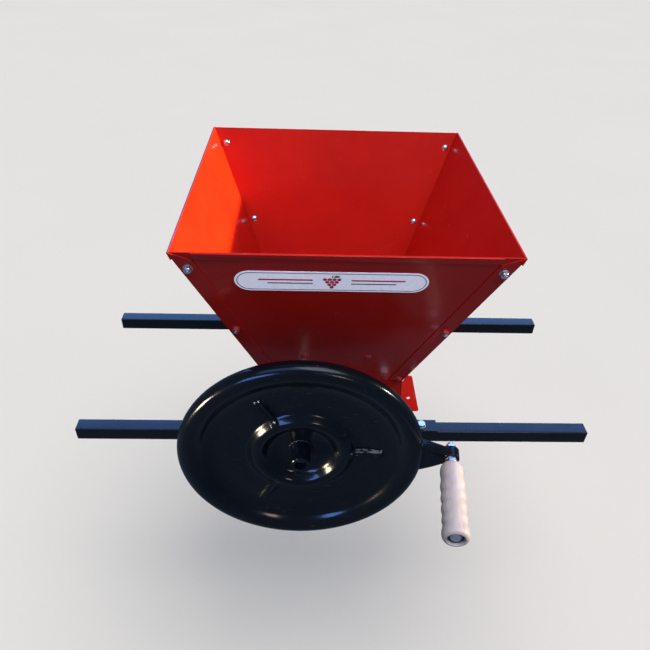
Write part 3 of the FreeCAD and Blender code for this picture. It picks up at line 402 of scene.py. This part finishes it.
# ------------------------------------------------------------------ hub, lug, bolts and the rest
soften("flywheel_hub", BLACK, 0.8, 30)
lug = soften("crank_lug", BLACK, 1.6, 25, 3)
for n in ("drive_shaft", "driven_shaft", "drive_shaft_collar", "driven_shaft_collar"):
    soften(n, STEEL, 0.3, 30)
for n in ("hub_pin", "drive_roller_pins", "driven_roller_pins", "drive_gear_key", "driven_gear_key", "drive_collar_screw", "driven_collar_screw"):
    soften(n, STEEL, 0.2, 30)
for n in ("drive_roller", "driven_roller"):
    soften(n, ALU, 0.7, 25)
for n in ("drive_gear", "driven_gear"):
    soften(n, IRON, 0.25, 30, 1)
for n in [k for k in NODES if k.endswith("_bush")]:
    o = soften(n, NYLON, 0.0, 30, merge=False)
    # running clearance in the bore, so that a turning shaft's facets pass
    ax = XD if n.startswith("drive_") else XN
    for v in o.data.vertices:
        dx, dz_ = v.co.x / MM - ax, v.co.z / MM - ZA
        r = math.hypot(dx, dz_)
        if 5.0 < r < 10.7:
            k = (r + 0.14) / r
            v.co.x, v.co.z = (ax + dx * k) * MM, (ZA + dz_ * k) * MM
for n in ("front_end_deflector", "rear_end_deflector"):
    soften(n, RED, 0.35, 20)
for n in ("front_bar", "rear_bar"):
    soften(n, BLACK_BAR, 0.35, 30)
for n in ("front_rail", "rear_rail"):
    soften(n, BLACK_BAR, 0.6, 25)
soften("bar_end_plugs", PLUG, 0.4, 30)
for n in ("hopper_front_panel", "hopper_rear_panel", "hopper_left_panel", "hopper_right_panel"):
    soften(n, RED, 0.45, 12)
for n in ("front_end_plate", "rear_end_plate", "left_side_plate", "right_side_plate"):
    soften(n, RED, 0.5, 14)
soften("gear_guard", RED, 0.5, 25)
for n in ("deflector_bolts", "neck_bolts"):
    soften(n, RED_BOLT, 0.35, 30)
SECOND = {"hopper_corner_nuts": (RED_BOLT, lambda c: c.z < 0.3), "grip_washers": (PLUG, lambda c: c.y < -0.33)}
for n in [k for k in NODES if SLOT_OF[k] == "zinc_plated"]:
    soften(n, ZINC, 0.35, 25, second=SECOND.get(n))
soften("name_plate", FOIL, 0.2, 30)

# ------------------------------------------------------------------ grip
GL = 138.0
pr = [(0.0, 9.5), (2.5, 14.0), (7.0, 17.4), (14.0, 19.2), (22.0, 19.3), (29.0, 18.3), (36.0, 18.9), (46.0, 20.0), (56.0, 18.5), (66.0, 20.0), (76.0, 18.5), (86.0, 20.0),
      (96.0, 18.6), (106.0, 19.8), (115.0, 18.6), (124.0, 20.4), (131.0, 20.6), (136.0, 18.6), (GL, 15.0)]
outer = catmull([(d, r) for d, r in pr], 1.2)
inner = [(GL, 14.6), (GL - 0.2, 13.9), (GL - 0.8, 13.45), (GL - 2.0, 13.4), (GL - 6.2, 13.4), (GL - 6.4, 13.1), (GL - 6.4, 5.1), (GL - 6.7, 5.08), (0.6, 5.08), (0.0, 5.4), (0.0, 9.0)]
gx = Vector((0, 0, 1)); gy = G.cross(gx).normalized()
rows = []
for d, r in list(outer) + inner:
    row = []
    for j in range(128):
        a = 2 * math.pi * j / 128
        wob = 1 + 0.004 * noise.noise(Vector((math.cos(a) * 1.5, math.sin(a) * 1.5, d * 0.05)))
        rr = r * (wob if r > 13.5 else 1)
        row.append((GS + G * float(d) + (gx * math.cos(a) + gy * math.sin(a)) * float(rr)) * MM)
    rows.append(row)
me = grid_mesh("grip_turned", rows, True, True)
bm = bmesh.new(); bm.from_mesh(me); bmesh.ops.recalc_face_normals(bm, faces=bm.faces); bm.to_mesh(me); bm.free()
me.shade_smooth(); me.set_sharp_from_angle(angle=math.radians(48))
new_obj("grip_turned", me, "grip", BEECH, "beech", "crank_grip")

# ------------------------------------------------------------------ printed band on the hopper
RIM, RIM_Z, NECK_Y, NECK_Z = 231.0, 418.0, 126.5, 107.0
up = Vector((0, -(RIM - NECK_Y), RIM_Z - NECK_Z)).normalized()
nrm_f = Vector((0, -(RIM_Z - NECK_Z), -(RIM - NECK_Y))).normalized()
t = (366.5 - NECK_Z) / (RIM_Z - NECK_Z)
LC = Vector((-19.0, -(NECK_Y + (RIM - NECK_Y) * t), 366.5)) + nrm_f * 0.64
def lp(x, y, h=0.0):
    return (LC + Vector((1, 0, 0)) * x + up * y + nrm_f * h) * MM
def decal(name, loops, mat, h=0.10):
    """Flat printed shapes, each an outline of (x, y) in the band's plane."""
    bm = bmesh.new()
    for loop in loops:
        vs = [bm.verts.new(lp(x, y, h)) for x, y in loop]
        bm.faces.new(vs)
    bmesh.ops.recalc_face_normals(bm, faces=bm.faces)
    for f in bm.faces:
        if f.normal.dot(nrm_f) < 0:
            f.normal_flip()
    ex = bmesh.ops.extrude_face_region(bm, geom=list(bm.faces))
    for v in [g for g in ex["geom"] if isinstance(g, bmesh.types.BMVert)]:
        v.co += nrm_f * 0.06 * MM
    bmesh.ops.recalc_face_normals(bm, faces=bm.faces)
    me = bpy.data.meshes.new(name)
    bm.to_mesh(me); bm.free()
    return new_obj(name, me, "frame", mat, "label_foil")
def stadium(w, h, n=24):
    r = h / 2; c = w / 2 - r
    pts = [(c + r * math.cos(a), r * math.sin(a)) for a in [-math.pi / 2 + math.pi * k / n for k in range(n + 1)]]
    return pts + [(-c + r * math.cos(a), r * math.sin(a)) for a in [math.pi / 2 + math.pi * k / n for k in range(n + 1)]]
o_, i_ = stadium(258, 36.5), stadium(255.6, 34.1)
decal("label_border", [[o_[k], o_[(k + 1) % len(o_)], i_[(k + 1) % len(o_)], i_[k]] for k in range(len(o_))], INK_DARK)
def disc(x, y, r, n=28):
    return [(x + r * math.cos(2 * math.pi * k / n), y + r * math.sin(2 * math.pi * k / n)) for k in range(n)]
berries = []
for row, cnt in enumerate((4, 3, 2, 1)):
    for k in range(cnt):
        berries.append(disc((k - (cnt - 1) / 2) * 6.4, 5.2 - row * 5.5, 2.95))
decal("label_grapes", berries, INK_RED)
decal("label_stem", [[(-0.7, 8.6), (0.7, 8.6), (1.5, 13.6), (0.1, 13.9)]], INK_DARK)
leaf = [(1.6, 10.2), (5.0, 9.0), (8.8, 9.6), (11.2, 11.6), (9.2, 12.2), (9.6, 14.2), (6.6, 13.4), (4.4, 14.6), (3.4, 12.4)]
decal("label_leaf", [leaf], INK_GREEN)
def bar2(x0, x1, y, h):
    r = h / 2
    n = 8
    pts = [(x1 - r + r * math.cos(a), y + r * math.sin(a)) for a in [-math.pi / 2 + math.pi * k / n for k in range(n + 1)]]
    return pts + [(x0 + r + r * math.cos(a), y + r * math.sin(a)) for a in [math.pi / 2 + math.pi * k / n for k in range(n + 1)]]
decal("label_rules_wine", [bar2(-100, -26, 3.6, 3.0), bar2(26, 100, 3.6, 3.0)], INK_RED)
decal("label_rules_dark", [bar2(-88, -26, -3.6, 2.0), bar2(26, 88, -3.6, 2.0)], INK_DARK)

# ------------------------------------------------------------------ stage and light
fm = Mat("plain_floor")
fm.link(fm.mix(fm.remap(fm.noise(1.2, 3, 0.5), 0.3, 0.7, 0, 1), (0.86, 0.86, 0.86), (0.84, 0.84, 0.845)), fm.b.inputs["Base Color"])
fm.setv(Roughness=0.9)
bpy.ops.mesh.primitive_plane_add(size=40, location=(0, 0, -0.60))
floor = bpy.context.object
floor.name = "floor"
floor.data.materials.append(fm.m)
# the pale floor is a backdrop and throws no light back up
floor.visible_diffuse = False
floor.visible_glossy = False
# an even pale surround for the level views
dm = Mat("plain_surround")
dm.nt.nodes.remove(dm.b)
em = dm.nt.nodes.new("ShaderNodeEmission")
em.inputs["Color"].default_value = (0.80, 0.80, 0.80, 1.0)
em.inputs["Strength"].default_value = 1.0
dm.link(em.outputs[0], dm.out.inputs[0])
bpy.ops.mesh.primitive_uv_sphere_add(segments=64, ring_count=32, radius=19.0, location=(0, 0, -0.60))
surround = bpy.context.object
surround.name = "surround"
surround.data.shade_smooth()
surround.data.materials.append(dm.m)
surround.visible_diffuse = surround.visible_glossy = surround.visible_shadow = False

world = bpy.data.worlds.new("studio")
scene.world = world
world.use_nodes = True
bg = world.node_tree.nodes["Background"]
bg.inputs["Color"].default_value = (0.52, 0.68, 0.98, 1)
bg.inputs["Strength"].default_value = 0.25

# the floor has a light of its own, so that it stays plain and even
lit_object = bpy.data.collections.new("lit_object")
lit_floor = bpy.data.collections.new("lit_floor")
lit_floor.objects.link(floor)
for o in list(scene.objects):
    if o.type == "MESH" and o not in (floor, surround):
        lit_object.objects.link(o)

def lamp(name, kind, loc, target, power, color=(1, 1, 1), size=1.0, size_y=None, only=lit_object):
    l = bpy.data.lights.new(name, kind)
    l.energy = power
    l.color = color
    if kind == "AREA":
        l.shape = "RECTANGLE"
        l.size = size
        l.size_y = size_y or size
    else:
        l.angle = size
    o = bpy.data.objects.new(name, l)
    scene.collection.objects.link(o)
    o.location = loc
    o.rotation_mode = "QUATERNION"
    o.rotation_quaternion = (Vector(target) - Vector(loc)).to_track_quat("-Z", "Y")
    o.light_linking.receiver_collection = only
    return o
def only(name, test):
    # a collection of the pieces that one lamp reaches
    c = bpy.data.collections.new(name)
    for o in list(scene.objects):
        if o.type == "MESH" and o not in (floor, surround) and test(o.name):
            c.objects.link(o)
    return c
SUN_AT = (9.3, 0.5, 2.75)
lamp("key", "SUN", SUN_AT, (0, 0, 0), 3.2, (1.0, 0.92, 0.80), math.radians(6))
lamp("sun_on_panels", "SUN", SUN_AT, (0, 0, 0), 16.0, (0.55, 1.0, 0.10), math.radians(2.5), only=only("sunlit_panel", lambda n: n.startswith("hopper_left_panel")))
lamp("sky_panel", "AREA", (0.0, 3.2, 2.5), (0, 0, 0.1), 230, (0.16, 0.38, 1.0), 6.0, 2.6)
lamp("top_panel", "AREA", (0.6, -1.0, 2.7), (0, 0, 0.2), 46, (1.0, 0.96, 0.92), 1.6, 1.6)
lamp("front_panel", "AREA", (-0.2, -1.7, 3.2), (0, 0, 0.1), 80, (0.22, 0.44, 1.0), 4.0, 1.4)
lamp("flange_light", "AREA", (1.2, -1.6, 1.6), (0.13, -0.12, 0.07), 46, (1.0, 0.9, 0.85), 0.6, 0.6, only=only("side_flanges", lambda n: "side_plate" in n and "bolt" not in n and "nut" not in n))
# low warm light, a blue one and a small one opposite, caught by the pressed wheel alone
wheel_only = only("wheel_pieces", lambda n: n.startswith(("flywheel", "crank_lug", "hub_")))
lamp("low_warm", "AREA", (-1.75, -1.25, -0.02), (-0.06, -0.25, 0.05), 72.0, (1.0, 0.84, 0.60), 0.45, 0.45, only=wheel_only)
lamp("blue_left", "AREA", (-1.45, -2.6, 1.25), (-0.06, -0.25, 0.05), 60, (0.18, 0.36, 1.0), 1.2, 0.7, only=wheel_only)
lamp("small_right", "AREA", (0.95, -2.6, 1.15), (-0.06, -0.25, 0.05), 9.0, (1.0, 0.74, 0.72), 0.42, 0.30, only=wheel_only)
lamp("label_light", "AREA", (-0.1, -2.1, 0.9), (-0.02, -0.21, 0.37), 20.0, (1.0, 0.97, 0.98), 0.8, 0.8, only=only("label_pieces", lambda n: n.startswith(("label_", "name_plate"))))
lamp("floor_light", "SUN", (0.5, -0.5, 6.0), (0, 0, 0), 2.5, (1.0, 0.93, 0.82), 1.0, only=lit_floor)

# ------------------------------------------------------------------ camera
f_px, yaw, el, roll = 597.149, 0.040465, 0.652363, 0.038178
d = Vector((math.sin(yaw) * math.cos(el), math.cos(yaw) * math.cos(el), -math.sin(el)))
r_ = d.cross(Vector((0, 0, 1))).normalized(); u_ = r_.cross(d)
r2 = r_ * math.cos(roll) + u_ * math.sin(roll)
u2 = -r_ * math.sin(roll) + u_ * math.cos(roll)
cam = bpy.data.objects.new("camera", bpy.data.cameras.new("camera"))
scene.collection.objects.link(cam)
cam.data.sensor_width = 36.0
cam.data.lens = 36.0 * f_px / 650.0
cam.data.clip_start, cam.data.clip_end = 0.01, 100.0
cam.matrix_world = Matrix(((r2.x, u2.x, -d.x, -0.05369), (r2.y, u2.y, -d.y, -0.89184), (r2.z, u2.z, -d.z, 0.81097), (0, 0, 0, 1)))
scene.camera = cam
